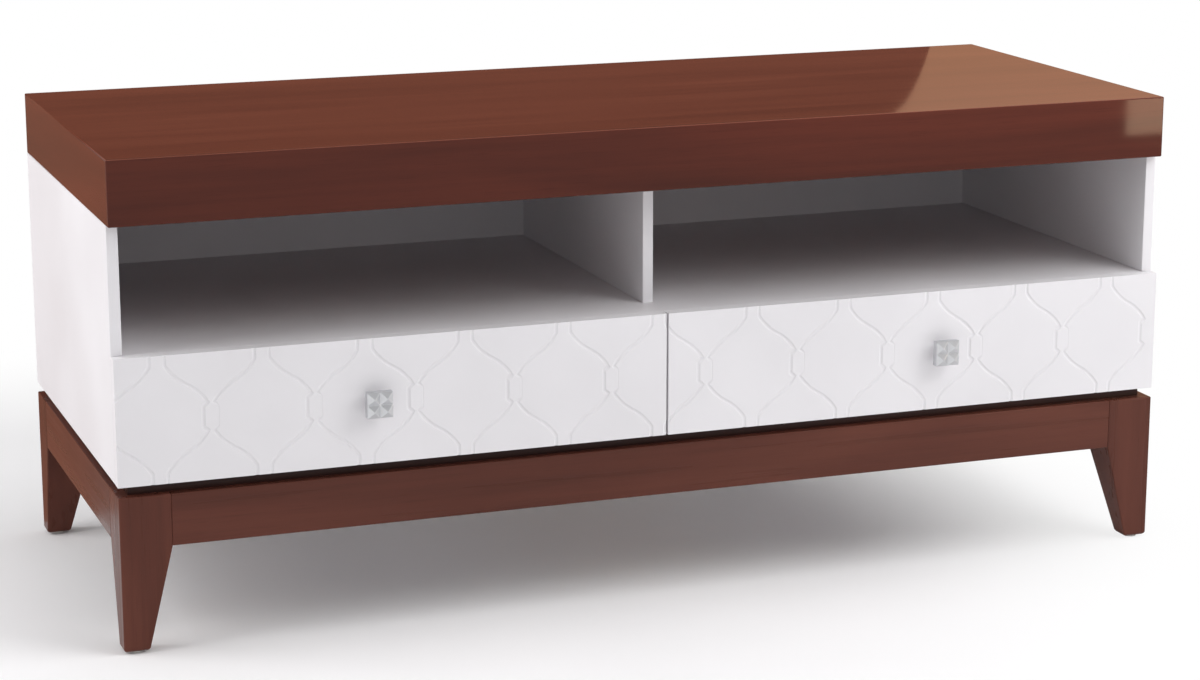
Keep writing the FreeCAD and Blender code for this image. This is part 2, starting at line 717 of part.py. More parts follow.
# Nothing is written unless every object of the document is sound
for made in doc.Objects:
    if {"Invalid", "Error"} & set(made.State):
        raise ValueError(f"{made.Name} failed: {made.State}")
os.makedirs("parts", exist_ok=True)
for label, made in pieces.items():
    if made.Shape.isNull() or not made.Shape.isValid():
        raise ValueError(f"{label} has no valid shape")
for label, made in pieces.items():
    made.Shape.exportStep(f"parts/{label}.step")
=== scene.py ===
import json
import math

import bmesh
import bpy
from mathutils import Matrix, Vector


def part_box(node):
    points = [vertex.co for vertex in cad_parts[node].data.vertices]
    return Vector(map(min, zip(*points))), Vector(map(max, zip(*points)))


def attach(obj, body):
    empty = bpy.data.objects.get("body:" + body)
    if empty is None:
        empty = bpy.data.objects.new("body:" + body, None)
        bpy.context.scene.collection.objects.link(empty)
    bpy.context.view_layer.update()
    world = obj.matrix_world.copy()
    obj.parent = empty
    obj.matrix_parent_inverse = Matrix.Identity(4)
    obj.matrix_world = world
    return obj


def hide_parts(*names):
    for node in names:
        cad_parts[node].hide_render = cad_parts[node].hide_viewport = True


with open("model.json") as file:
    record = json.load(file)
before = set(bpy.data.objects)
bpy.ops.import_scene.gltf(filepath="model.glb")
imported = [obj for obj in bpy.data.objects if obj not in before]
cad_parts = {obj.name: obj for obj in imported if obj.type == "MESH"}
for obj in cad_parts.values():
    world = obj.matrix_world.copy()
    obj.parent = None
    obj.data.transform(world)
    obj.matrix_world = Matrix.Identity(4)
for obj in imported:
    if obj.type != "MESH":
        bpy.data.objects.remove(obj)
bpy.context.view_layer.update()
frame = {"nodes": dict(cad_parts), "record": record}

MM = 0.001

FRONT, BACK = Vector((0, -1, 0)), Vector((0, 1, 0))
LEFT, RIGHT = Vector((-1, 0, 0)), Vector((1, 0, 0))
DOWN, UP = Vector((0, 0, -1)), Vector((0, 0, 1))
HANDS = ("left", "right")
# The four sides of a frame or box, each with the axis that its board runs along
SIDES = (("front", "x"), ("back", "x"), ("left", "y"), ("right", "y"))

record = frame["record"]
NODE_BODY = {node: body for body, nodes in record["behaviour"]["bodies"].items() for node in nodes}


# Colours
def srgb(red, green, blue):
    """A colour as a screen shows it, 0 to 255, turned into the linear values that shaders take."""
    def linear(level):
        share = level / 255
        return share / 12.92 if share <= 0.04045 else ((share + 0.055) / 1.055) ** 2.4
    return (linear(red), linear(green), linear(blue), 1.0)


PLAIN_WHITE = (1.0, 1.0, 1.0, 1.0)


# Node helpers
# A Mix node's colour sockets go by number, because their names are also those of its number sockets
MIX_FACTOR, MIX_FIRST, MIX_SECOND, MIX_RESULT = 0, 6, 7, 2


def add(tree, kind, **settings):
    node = tree.nodes.new(kind)
    for name, value in settings.items():
        setattr(node, name, value)
    return node


def new_finish(name):
    """A new material with its node tree and its main shader."""
    material = bpy.data.materials.new(name)
    material.use_nodes = True
    tree = material.node_tree
    return material, tree, tree.nodes["Principled BSDF"]


def stretched(tree, repeats):
    """Object coordinates multiplied by the repeats per metre along each axis."""
    place = add(tree, "ShaderNodeTexCoord")
    mapping = add(tree, "ShaderNodeMapping")
    mapping.inputs["Scale"].default_value = repeats
    tree.links.new(place.outputs["Object"], mapping.inputs["Vector"])
    return mapping.outputs["Vector"]


def noise(tree, repeats, detail, distortion=0.0):
    node = add(tree, "ShaderNodeTexNoise")
    node.inputs["Scale"].default_value = 1.0
    node.inputs["Detail"].default_value = detail
    node.inputs["Distortion"].default_value = distortion
    tree.links.new(stretched(tree, repeats), node.inputs["Vector"])
    return node.outputs["Fac"]


def ramp(tree, value, *stops):
    """Colours between stops, each a place from 0 to 1 and a colour."""
    node = add(tree, "ShaderNodeValToRGB")
    elements = node.color_ramp.elements
    while len(elements) < len(stops):
        elements.new(0.5)
    for element, (place, colour) in zip(elements, stops):
        element.position = place
        element.color = colour
    tree.links.new(value, node.inputs["Fac"])
    return node.outputs["Color"]


def spread(tree, value, low, high, start=0.3, end=0.7):
    """A value between start and end, mapped to a range of plain numbers."""
    node = add(tree, "ShaderNodeMapRange")
    for socket, number in (("From Min", start), ("From Max", end), ("To Min", low), ("To Max", high)):
        node.inputs[socket].default_value = number
    tree.links.new(value, node.inputs["Value"])
    return node.outputs["Result"]


def mixed(tree, factor, first, second, blend="MIX"):
    """Two colours mixed; each of the three is a socket or a plain value."""
    node = add(tree, "ShaderNodeMix", data_type="RGBA", blend_type=blend)
    for index, value in ((MIX_FACTOR, factor), (MIX_FIRST, first), (MIX_SECOND, second)):
        if hasattr(value, "is_linked"):
            tree.links.new(value, node.inputs[index])
        else:
            node.inputs[index].default_value = value
    return node.outputs[MIX_RESULT]


def worked_out(tree, operation, first, second):
    """One number from two."""
    node = add(tree, "ShaderNodeMath", operation=operation)
    tree.links.new(first, node.inputs[0])
    tree.links.new(second, node.inputs[1])
    return node.outputs[0]


def bump(tree, shader, height, depth):
    node = add(tree, "ShaderNodeBump")
    node.inputs["Strength"].default_value = 1.0
    node.inputs["Distance"].default_value = depth
    tree.links.new(height, node.inputs["Height"])
    tree.links.new(node.outputs["Normal"], shader.inputs["Normal"])


def uneven_colour(tree, shader, value, places, shades):
    """Colour that drifts between shades with a noise value."""
    tree.links.new(ramp(tree, value, *zip(places, shades)), shader.inputs["Base Color"])


def uneven_sheen(tree, shader, value, rough, shares):
    """Roughness that drifts with a noise value, between two shares of its middle."""
    smoother, rougher = shares
    tree.links.new(spread(tree, value, rough * smoother, rough * rougher), shader.inputs["Roughness"])


# Finishes. Repeats are per metre, for wood first down the grain and then across it
FIGURE, FIGURE_WAVE, FIGURE_PLACES = (1.3, 11), 0.6, (0.30, 0.50, 0.72)
RIBBONS, RIBBON_TINTS = (2.6, 95), ((0.32, (0.90, 0.88, 0.86, 1)), (0.62, (1.05, 1.05, 1.05, 1)))
PORES, PORE_TINTS = (24, 1500), ((0.60, PLAIN_WHITE), (0.74, (0.84, 0.80, 0.78, 1)))
WOOD_SHEEN = (0.8, 1.25)

CLOUD, CLOUD_PLACES, CLOUD_SHEEN = (5, 5, 5), (0.35, 0.65), (0.9, 1.12)
ORANGE_PEEL, ORANGE_PEEL_DEPTH = (420, 420, 420), 0.01 * MM
RUBBED_PLACES, RUBBED_SHEEN = (0.3, 0.7), (0.75, 1.3)
MOTTLE, MOTTLE_PLACES, MOTTLE_SHEEN = (260, 260, 260), (0.35, 0.65), (0.9, 1.15)
MOTTLE_DEPTH = 0.02 * MM

LACQUER_SPECULAR = 0.2
BARE_SPECULAR = 0.5


def along(axis, lengthwise, across):
    """Repeats that give long streaks down one axis."""
    repeats = [across, across, across]
    repeats["xyz".index(axis)] = lengthwise
    return repeats


def wood(name, axis, shades, rough, pore_depth, specular, ribbon=1.0):
    """Straight-grained wood: broad figure, fine ribbons and short dark pores, all down one axis."""
    material, tree, shader = new_finish(name)
    lengthwise, across = RIBBONS
    figure = noise(tree, along(axis, *FIGURE), detail=3, distortion=FIGURE_WAVE)
    ribbons = noise(tree, along(axis, lengthwise, across * ribbon), detail=3)
    pores = noise(tree, along(axis, *PORES), detail=1)
    colour = ramp(tree, figure, *zip(FIGURE_PLACES, shades))
    for tint in (ramp(tree, ribbons, *RIBBON_TINTS), ramp(tree, pores, *PORE_TINTS)):
        colour = mixed(tree, 1.0, colour, tint, "MULTIPLY")
    tree.links.new(colour, shader.inputs["Base Color"])
    uneven_sheen(tree, shader, ribbons, rough, WOOD_SHEEN)
    bump(tree, shader, pores, pore_depth)
    shader.inputs["Specular IOR Level"].default_value = specular
    return material


def lacquer(name, low, high, rough):
    """Sprayed satin lacquer: nearly even colour, slight unevenness in sheen and a faint orange peel."""
    material, tree, shader = new_finish(name)
    cloud = noise(tree, CLOUD, detail=2)
    uneven_colour(tree, shader, cloud, CLOUD_PLACES, (low, high))
    uneven_sheen(tree, shader, cloud, rough, CLOUD_SHEEN)
    bump(tree, shader, noise(tree, ORANGE_PEEL, detail=1), ORANGE_PEEL_DEPTH)
    shader.inputs["Specular IOR Level"].default_value = LACQUER_SPECULAR
    return material


def metal(name, low, high, rough, repeats):
    """Plated metal with fine rubbing marks."""
    material, tree, shader = new_finish(name)
    marks = noise(tree, repeats, detail=3)
    uneven_colour(tree, shader, marks, RUBBED_PLACES, (low, high))
    uneven_sheen(tree, shader, marks, rough, RUBBED_SHEEN)
    shader.inputs["Metallic"].default_value = 1.0
    return material


def moulded(name, low, high, rough):
    """Moulded plastic with a slight mottle."""
    material, tree, shader = new_finish(name)
    mottle = noise(tree, MOTTLE, detail=3)
    uneven_colour(tree, shader, mottle, MOTTLE_PLACES, (low, high))
    uneven_sheen(tree, shader, mottle, rough, MOTTLE_SHEEN)
    bump(tree, shader, mottle, MOTTLE_DEPTH)
    return material


TOP_SHADES = (srgb(112, 57, 39), srgb(121, 63, 44), srgb(130, 70, 50))
# The slab's edges take the deck's veneer in darker shades: painted shade for sides that get less light than
# the deck
SHADED_EDGE_SHADES = (srgb(72, 29, 18), srgb(86, 36, 23), srgb(100, 43, 28))
BASE_SHADES = (srgb(76, 39, 29), srgb(90, 48, 37), srgb(104, 58, 45))
# The spacer strips carry the frame's stain in far darker shades: painted shade for the recessed gap under the
# carcass
SHADED_SPACER_SHADES = (srgb(44, 20, 15), srgb(52, 25, 19), srgb(62, 31, 24))
BIRCH_SHADES = (srgb(205, 172, 128), srgb(218, 190, 148), srgb(228, 204, 166))
PINE_SHADES = (srgb(184, 144, 98), srgb(204, 168, 120), srgb(216, 184, 140))

GLOSS = {"rough": 0.06, "pore_depth": 0.001 * MM, "specular": LACQUER_SPECULAR}
SEMI_GLOSS = {"rough": 0.30, "pore_depth": 0.02 * MM, "specular": LACQUER_SPECULAR}
BARE = {"rough": 0.55, "pore_depth": 0.1 * MM, "specular": BARE_SPECULAR, "ribbon": 0.6}

WHITE = lacquer("white_satin_lacquer", srgb(233, 231, 234), srgb(238, 236, 239), 0.42)
HARDBOARD = lacquer("foiled_hardboard", srgb(222, 219, 212), srgb(230, 227, 221), 0.5)
ENAMEL = lacquer("white_enamel", srgb(226, 226, 223), srgb(236, 236, 233), 0.25)
NYLON = moulded("nylon", srgb(214, 214, 209), srgb(226, 226, 221), 0.45)
KNOB_METAL = metal("satin_knob", srgb(204, 205, 208), srgb(213, 214, 216), 0.42, (900, 900, 300))
ZINC = metal("zinc_plating", srgb(172, 175, 180), srgb(198, 200, 204), 0.35, (300, 300, 300))
TOP = wood("top_veneer_x", "x", TOP_SHADES, **GLOSS)
# Edge veneer in darker shades than the deck: painted shade
SHADED_EDGE = {axis: wood(f"painted_shade_edge_veneer_{axis}", axis, SHADED_EDGE_SHADES, **GLOSS) for axis in "xy"}
BASE = {axis: wood(f"base_wood_{axis}", axis, BASE_SHADES, **SEMI_GLOSS) for axis in "xyz"}
# Spacer strips in darker shades than the base wood: painted shade for their recess
SHADED_SPACER = wood("spacer_painted_shade", "x", SHADED_SPACER_SHADES, **SEMI_GLOSS)
BIRCH = {axis: wood(f"drawer_birch_{axis}", axis, BIRCH_SHADES, **BARE) for axis in "xy"}
PINE = {axis: wood(f"frame_timber_{axis}", axis, PINE_SHADES, **BARE) for axis in "xy"}


# Making pieces
WELD = 0.001 * MM
FLAT, SHARP, SQUARE = math.radians(1), math.radians(20), math.radians(80)


def new_piece(name, mesh, material, body, stands_for=()):
    mesh.materials.clear()
    mesh.materials.append(material)
    piece = bpy.data.objects.new(name, mesh)
    bpy.context.scene.collection.objects.link(piece)
    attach(piece, body)
    if stands_for:
        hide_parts(*stands_for)


def stand_in(node, mesh, material):
    """A piece named like its mesh, shown in place of a CAD node."""
    new_piece(mesh.name, mesh, material, NODE_BODY[node], [node])


def mesh_of(name, shape):
    mesh = bpy.data.meshes.new(name)
    shape.to_mesh(mesh)
    shape.free()
    return mesh


def soften(shape, width, steps, sharper_than):
    """Rounds every edge that turns more than an angle; only the rounded strips are shaded smooth."""
    edges = [edge for edge in shape.edges if edge.is_manifold and edge.calc_face_angle() > sharper_than]
    for face in shape.faces:
        face.smooth = False
    made = bmesh.ops.bevel(shape, geom=edges, offset=width, segments=steps, profile=0.5,
                           affect="EDGES", clamp_overlap=True)
    for face in made["faces"]:
        face.smooth = True


def eased(node, material, width, steps=2):
    """A copy of a CAD node with its edges rounded as sanding leaves them, shown in its place."""
    shape = bmesh.new()
    shape.from_mesh(frame["nodes"][node].data)
    bmesh.ops.remove_doubles(shape, verts=shape.verts, dist=WELD)
    bmesh.ops.dissolve_limit(shape, angle_limit=FLAT, verts=shape.verts, edges=shape.edges)
    soften(shape, width, steps, SHARP)
    stand_in(node, mesh_of(f"{node}_eased", shape), material)


# Thick top: one slab with softened arrises, parted along the mitres into its five boards
TOP_ARRIS = 1.4 * MM
TOP_SLIVER = 0.02 * MM


def parted(shape, place, away):
    """Cuts off all that lies beyond a plane and closes the cut."""
    everything = shape.verts[:] + shape.edges[:] + shape.faces[:]
    made = bmesh.ops.bisect_plane(shape, geom=everything, plane_co=place, plane_no=away, clear_outer=True)
    rim = [item for item in made["geom_cut"] if isinstance(item, bmesh.types.BMEdge)]
    bmesh.ops.edgenet_fill(shape, edges=rim)
    bmesh.ops.recalc_face_normals(shape, faces=shape.faces)


def build_top():
    low = Vector(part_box("top_edge_front")[0])
    high = Vector((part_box("top_edge_right")[1].x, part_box("top_edge_back")[1].y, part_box("top_deck")[1].z))
    thickness = high.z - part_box("top_deck")[0].z
    slab = bmesh.new()
    bmesh.ops.create_cube(slab, size=1.0)
    for corner in slab.verts:
        corner.co = Vector([(low[i] + high[i]) / 2 + corner.co[i] * (high[i] - low[i]) for i in range(3)])
    soften(slab, TOP_ARRIS, steps=3, sharper_than=SHARP)
    boards = (
        ("top_edge_front", SHADED_EDGE["x"], low, FRONT),
        ("top_edge_back", SHADED_EDGE["x"], high, BACK),
        ("top_edge_left", SHADED_EDGE["y"], low, LEFT),
        ("top_edge_right", SHADED_EDGE["y"], high, RIGHT),
        ("top_deck", TOP, high, UP),
    )
    for node, finish, corner, facing in boards:
        part = slab.copy()
        parted(part, corner - facing * thickness, -facing)
        for _, _, other_corner, other_facing in boards:
            if facing.dot(other_facing) == 0:
                meeting = Vector([other_corner[i] if other_facing[i] else corner[i] for i in range(3)])
                parted(part, meeting, (other_facing - facing).normalized())
        bmesh.ops.dissolve_degenerate(part, dist=TOP_SLIVER, edges=part.edges)
        stand_in(node, mesh_of(f"{node}_eased", part), finish)
    slab.free()


# Geometry node trees
def new_tree(name, sockets):
    """A tree with a geometry in and out and the named inputs, and those inputs by name."""
    tree = bpy.data.node_groups.new(name, "GeometryNodeTree")
    face = tree.interface
    face.new_socket("Geometry", in_out="OUTPUT", socket_type="NodeSocketGeometry")
    face.new_socket("Geometry", in_out="INPUT", socket_type="NodeSocketGeometry")
    for label, kind in sockets.items():
        face.new_socket(label, in_out="INPUT", socket_type=f"NodeSocket{kind}")
    given = tree.nodes.new("NodeGroupInput")
    result = tree.nodes.new("NodeGroupOutput")
    return tree, given.outputs, result.inputs["Geometry"]


def realized(tree, geometry):
    real = add(tree, "GeometryNodeRealizeInstances")
    tree.links.new(geometry, real.inputs["Geometry"])
    return real.outputs["Geometry"]


def row_of(tree, thing, count, first, step):
    """Real copies of a thing in a straight row."""
    line = add(tree, "GeometryNodeMeshLine", mode="OFFSET")
    tree.links.new(count, line.inputs["Count"])
    tree.links.new(first, line.inputs["Start Location"])
    tree.links.new(step, line.inputs["Offset"])
    copies = add(tree, "GeometryNodeInstanceOnPoints")
    tree.links.new(line.outputs["Mesh"], copies.inputs["Points"])
    tree.links.new(thing, copies.inputs["Instance"])
    return realized(tree, copies.outputs["Instances"])


def painted(tree, geometry, finish):
    paint = add(tree, "GeometryNodeSetMaterial")
    tree.links.new(geometry, paint.inputs["Geometry"])
    tree.links.new(finish, paint.inputs["Material"])
    return paint.outputs["Geometry"]


def baked(name, data, tree, values):
    """Runs a tree on a mesh or curve and returns the result as a plain mesh."""
    carrier = bpy.data.objects.new(name, data)
    bpy.context.scene.collection.objects.link(carrier)
    modifier = carrier.modifiers.new(tree.name, "NODES")
    modifier.node_group = tree
    for item in tree.interface.items_tree:
        if item.in_out == "INPUT" and item.name in values:
            modifier[item.identifier] = values[item.name]
    carrier.update_tag()
    ready = carrier.evaluated_get(bpy.context.evaluated_depsgraph_get())
    mesh = bpy.data.meshes.new_from_object(ready)
    mesh.name = name
    carrier.modifiers.remove(modifier)
    bpy.data.objects.remove(carrier)
    return mesh


# Drawer fronts: a board with the lantern lines milled in as shallow coves
CELLS = 11
TRELLIS_SHIFT = -11.5 * MM
# Corners of a quarter cell, across and up from its middle
NECK = Vector((8.6, 61)) * MM
SHOULDER = Vector((56, 16)) * MM
WAIST = Vector((50.5, 12)) * MM
OGEE_SAG = 2.0 * MM
CURVE_STEPS = 6
COVE_WIDTH = 5.0 * MM
COVE_DEPTH = 1.1 * MM
COVE_OVERRUN = 9 * MM
CUTTER_SIDES = 20
FAINT_CUT = 0.78
FULL_CUT = 1.04
FRONT_ARRIS = 0.8 * MM
FRONT_SLIVER = 0.005 * MM
# How far the faces of a cove lean: the share of their normal that points to the front
COVE_LEAN = (0.3, 0.9995)


def cell_runs(half_height):
    """The sides of one cell in turn, each a Bezier run of two ends with a handle for each."""
    end = Vector((NECK.x, half_height + COVE_OVERRUN))
    middle = (NECK + SHOULDER) / 2
    span = SHOULDER - NECK
    bow = Vector((-span.y, span.x)).normalized() * OGEE_SAG * 4 / 3
    quarter = [(end, NECK, 0), (NECK, middle, -1), (middle, SHOULDER, 1), (SHOULDER, WAIST, 0)]
    runs = []
    for mirror_x, mirror_z in ((1, 1), (1, -1), (-1, -1), (-1, 1)):
        flip = Vector((mirror_x, mirror_z))
        stretch = []
        for start, stop, side in quarter:
            handles = [start.lerp(stop, share) + bow * side for share in (1 / 3, 2 / 3)]
            stretch.append([point * flip for point in (start, *handles, stop)])
        if mirror_x * mirror_z < 0:
            stretch = [run[::-1] for run in stretch[::-1]]
        runs.extend(stretch)
    return runs


def lantern_curve(half_height):
    """One closed cell as a Bezier outline in the X Z plane, each ogee made of two opposite bows.

    The upright runs left of the waist and right of the neck hardly show in the photo and are cut fainter.
    """
    runs = cell_runs(half_height)
    points = []
    for index, run in enumerate(runs):
        before = runs[index - 1]
        joined = (before[3] - run[0]).length < WELD
        if not joined:
            points.append((before[3], before[2], before[3].lerp(run[0], 1 / 3)))
        left = before[2] if joined else before[3].lerp(run[0], 2 / 3)
        points.append((run[0], left, run[1]))
    curve = bpy.data.curves.new("lantern_line", "CURVE")
    curve.dimensions = "3D"
    curve.resolution_u = CURVE_STEPS
    spline = curve.splines.new("BEZIER")
    spline.bezier_points.add(len(points) - 1)
    spline.use_cyclic_u = True
    for knot, (place, left, right) in zip(spline.bezier_points, points):
        knot.handle_left_type = "FREE"
        knot.handle_right_type = "FREE"
        knot.co = (place.x, 0, place.y)
        knot.handle_left = (left.x, 0, left.y)
        knot.handle_right = (right.x, 0, right.y)
        rise = abs(place.y)
        if rise < WAIST.y + MM:
            knot.radius = FAINT_CUT if place.x < 0 else FULL_CUT
        elif rise > NECK.y + MM:
            knot.radius = FAINT_CUT if place.x > 0 else FULL_CUT
    return curve


def trellis_tree():
    tree, given, result = new_tree("trellis_front", {
        "Cells": "Int", "First cell": "Vector", "Cell step": "Vector", "Cutter radius": "Float",
        "Board size": "Vector", "Board middle": "Vector", "Finish": "Material",
    })
    link = tree.links.new
    lines = row_of(tree, given["Geometry"], given["Cells"], given["First cell"], given["Cell step"])
    cutter = add(tree, "GeometryNodeCurvePrimitiveCircle")
    cutter.inputs["Resolution"].default_value = CUTTER_SIDES
    link(given["Cutter radius"], cutter.inputs["Radius"])
    coves = add(tree, "GeometryNodeCurveToMesh")
    link(lines, coves.inputs["Curve"])
    link(cutter.outputs["Curve"], coves.inputs["Profile Curve"])
    link(add(tree, "GeometryNodeInputRadius").outputs["Radius"], coves.inputs["Scale"])
    board = add(tree, "GeometryNodeMeshCube")
    link(given["Board size"], board.inputs["Size"])
    placed = add(tree, "GeometryNodeTransform")
    link(board.outputs["Mesh"], placed.inputs["Geometry"])
    link(given["Board middle"], placed.inputs["Translation"])
    milled = add(tree, "GeometryNodeMeshBoolean", operation="DIFFERENCE", solver="EXACT")
    milled.inputs["Self Intersection"].default_value = True
    link(placed.outputs["Geometry"], milled.inputs["Mesh 1"])
    link(coves.outputs["Mesh"], milled.inputs["Mesh 2"])
    link(painted(tree, realized(tree, milled.outputs["Mesh"]), given["Finish"]), result)
    return tree


def build_drawer_fronts():
    tree = trellis_tree()
    left_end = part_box("left_drawer_front")[0].x
    pitch = -2 * left_end / CELLS
    radius = (COVE_WIDTH ** 2 / 4 + COVE_DEPTH ** 2) / (2 * COVE_DEPTH)
    for hand, first in (("left", 0), ("right", CELLS // 2)):
        node = f"{hand}_drawer_front"
        low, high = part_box(node)
        middle = (low + high) / 2
        start = (left_end + (first + 0.5) * pitch + TRELLIS_SHIFT, low.y - radius + COVE_DEPTH, middle.z)
        mesh = baked(f"{node}_milled", lantern_curve((high.z - low.z) / 2), tree, {
            "Cells": CELLS // 2 + 1,
            "First cell": start,
            "Cell step": (pitch, 0, 0),
            "Cutter radius": radius,
            "Board size": tuple(high - low),
            "Board middle": tuple(middle),
            "Finish": WHITE,
        })
        shape = bmesh.new()
        shape.from_mesh(mesh)
        bmesh.ops.remove_doubles(shape, verts=shape.verts, dist=WELD)
        soften(shape, FRONT_ARRIS, steps=2, sharper_than=SQUARE)
        bmesh.ops.dissolve_degenerate(shape, dist=FRONT_SLIVER, edges=shape.edges)
        for face in shape.faces:
            lean = abs(face.normal.y)
            face.smooth = face.smooth or COVE_LEAN[0] < lean < COVE_LEAN[1]
        shape.to_mesh(mesh)
        shape.free()
        stand_in(node, mesh, WHITE)


# Screws: pan heads with a cross recess, repeated in rows and joined into one piece for each body
HEAD_SIDES = 16
# Shares of the head's radius and rise, from its foot up
HEAD_RINGS = ((1.0, 0.0), (1.0, 0.35), (0.88, 0.72), (0.62, 0.93), (0.5, 0.97))
CROSS_ARM, CROSS_NOTCH = 0.46, 0.16
CROSS_EVERY = 4
RECESS_TAPER, RECESS_FLOOR = 0.6, 0.35

# Radius and rise of each kind of head
SMALL_HEAD = (3.1 * MM, 1.5 * MM)
FLAT_HEAD = (3.2 * MM, 0.6 * MM)
LARGE_HEAD = (6.5 * MM, 3.2 * MM)
KNOB_HEAD = (4.2 * MM, 2.2 * MM)

BACK_SCREWS, BACK_STEP = 9, 150 * MM
BLOCK_INSETS = ((19 * MM, 69 * MM), (69 * MM, 19 * MM))
CHANNEL_SCREWS, CHANNEL_START, CHANNEL_STEP = 3, 70 * MM, 150 * MM
CHANNEL_SHEET = 1.2 * MM
BOX_INSET, BOX_ABOVE_FOOT, BOX_BELOW_RIM = 80 * MM, 30 * MM, 18 * MM
RUNNER_SCREWS, RUNNER_START, RUNNER_STEP = 3, 45 * MM, 180 * MM
RUNNER_LIP = 4.5 * MM


def screw_head(radius, rise, aim):
    """Domed head whose foot is at the origin, pointing along an axis, with a cross-shaped recess."""
    shape = bmesh.new()
    turns = [2 * math.pi * step / HEAD_SIDES for step in range(HEAD_SIDES)]
    cross = [CROSS_NOTCH if step % CROSS_EVERY else CROSS_ARM for step in range(HEAD_SIDES)]
    levels = [([share] * HEAD_SIDES, height) for share, height in HEAD_RINGS]
    levels += [(cross, 1.0), ([reach * RECESS_TAPER for reach in cross], RECESS_FLOOR)]
    loops = []
    for reaches, height in levels:
        loops.append([
            shape.verts.new((radius * reach * math.cos(turn), radius * reach * math.sin(turn), rise * height))
            for reach, turn in zip(reaches, turns)
        ])
    for lower, upper in zip(loops, loops[1:]):
        for step in range(HEAD_SIDES):
            following = (step + 1) % HEAD_SIDES
            shape.faces.new((lower[step], lower[following], upper[following], upper[step]))
    shape.faces.new(loops[-1])
    shape.faces.new(loops[0][::-1])
    bmesh.ops.recalc_face_normals(shape, faces=shape.faces)
    bmesh.ops.rotate(shape, verts=shape.verts, matrix=UP.rotation_difference(aim).to_matrix())
    return mesh_of("screw_head", shape)


def screw_tree():
    tree, given, result = new_tree("screw_row", {
        "Count": "Int", "First": "Vector", "Step": "Vector", "Finish": "Material",
    })
    row = row_of(tree, given["Geometry"], given["Count"], given["First"], given["Step"])
    tree.links.new(painted(tree, row, given["Finish"]), result)
    return tree


def screws(name, body, tree, rows):
    """One piece from rows of (aim, head, count, first place, step)."""
    shape = bmesh.new()
    for index, (aim, head, count, first, step) in enumerate(rows):
        mesh = baked(f"{name}_{index}", screw_head(*head, aim), tree, {
            "Count": count, "First": tuple(first), "Step": tuple(step), "Finish": ZINC,
        })
        shape.from_mesh(mesh)
        bpy.data.meshes.remove(mesh)
    new_piece(name, mesh_of(name, shape), ZINC, body)


def cabinet_screw_rows():
    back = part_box("back_panel")[1].y
    step = RIGHT * BACK_STEP
    rows = []
    for node, count in (("bottom_panel", BACK_SCREWS), ("bay_shelf", BACK_SCREWS),
                        ("bay_divider", 1), ("drawer_partition", 1)):
        low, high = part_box(node)
        first = (-step.x * (count - 1) / 2, back, (low.z + high.z) / 2)
        rows.append((BACK, SMALL_HEAD, count, first, step))
    low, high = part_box("corner_blocks")
    for inset_x, inset_y in BLOCK_INSETS:
        across = RIGHT * (high.x - low.x - 2 * inset_x)
        for y in (low.y + inset_y, high.y - inset_y):
            rows.append((DOWN, LARGE_HEAD, 2, (low.x + inset_x, y, low.z), across))
    for hand in HANDS:
        for side, aim in (("left", RIGHT), ("right", LEFT)):
            low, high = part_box(f"{hand}_drawer_channel_{side}")
            web = low.x + CHANNEL_SHEET if side == "left" else high.x - CHANNEL_SHEET
            first = (web, low.y + CHANNEL_START, (low.z + high.z) / 2)
            rows.append((aim, FLAT_HEAD, CHANNEL_SCREWS, first, BACK * CHANNEL_STEP))
    return rows


def drawer_screw_rows(hand):
    low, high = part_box(f"{hand}_box_front")
    knob_low, knob_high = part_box(f"{hand}_knob_head")
    knob = (knob_low + knob_high) / 2
    across = RIGHT * (high.x - low.x - 2 * BOX_INSET)
    rows = [(BACK, KNOB_HEAD, 1, (knob.x, high.y, knob.z), across)]
    for z in (low.z + BOX_ABOVE_FOOT, high.z - BOX_BELOW_RIM):
        rows.append((BACK, SMALL_HEAD, 2, (low.x + BOX_INSET, high.y, z), across))
    for side in HANDS:
        low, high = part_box(f"{hand}_runner_{side}")
        lip = high.x - RUNNER_LIP if side == "left" else low.x + RUNNER_LIP
        first = (lip, low.y + RUNNER_START, low.z)
        rows.append((DOWN, FLAT_HEAD, RUNNER_SCREWS, first, BACK * RUNNER_STEP))
    return rows


def build_screws():
    tree = screw_tree()
    screws("cabinet_screws", "cabinet", tree, cabinet_screw_rows())
    for hand in HANDS:
        screws(f"{hand}_drawer_screws", f"{hand}_drawer", tree, drawer_screw_rows(hand))


# Boards, legs and knobs with eased edges
PANEL_EASE = 0.7 * MM
RAIL_EASE = 0.7 * MM
LEG_EASE = 1.2 * MM
BOX_EASE = 0.9 * MM
KNOB_EASE = 0.35 * MM


def build_boards():
    for node in ("side_panel_left", "side_panel_right", "bay_shelf", "bay_divider", "bottom_panel"):
        eased(node, WHITE, PANEL_EASE)
    for corner in ("front_left", "front_right", "back_left", "back_right"):
        eased(f"leg_{corner}", BASE["z"], LEG_EASE, steps=3)
    for side, axis in SIDES:
        eased(f"rail_{side}", BASE[axis], RAIL_EASE)
    for hand in HANDS:
        for side, axis in SIDES:
            eased(f"{hand}_box_{side}", BIRCH[axis], BOX_EASE)
        eased(f"{hand}_knob_head", KNOB_METAL, KNOB_EASE)


# The finish of every CAD node that is shown as it is, by its name or by how its name ends
NODE_FINISH = {
    "top_underside": SHADED_EDGE["x"],
    "top_battens": PINE["y"],
    "cross_rail": PINE["y"],
    "corner_blocks": PINE["x"],
    "spacer_strips": SHADED_SPACER,
    "foot_glides": NYLON,
    "drawer_partition": WHITE,
    "back_panel": WHITE,
}
ENDING_FINISH = {
    "_rollers": NYLON,
    "_knob_stem": KNOB_METAL,
    "_box_bottom": HARDBOARD,
    "_channel_left": ENAMEL,
    "_channel_right": ENAMEL,
    "_runner_left": ENAMEL,
    "_runner_right": ENAMEL,
}


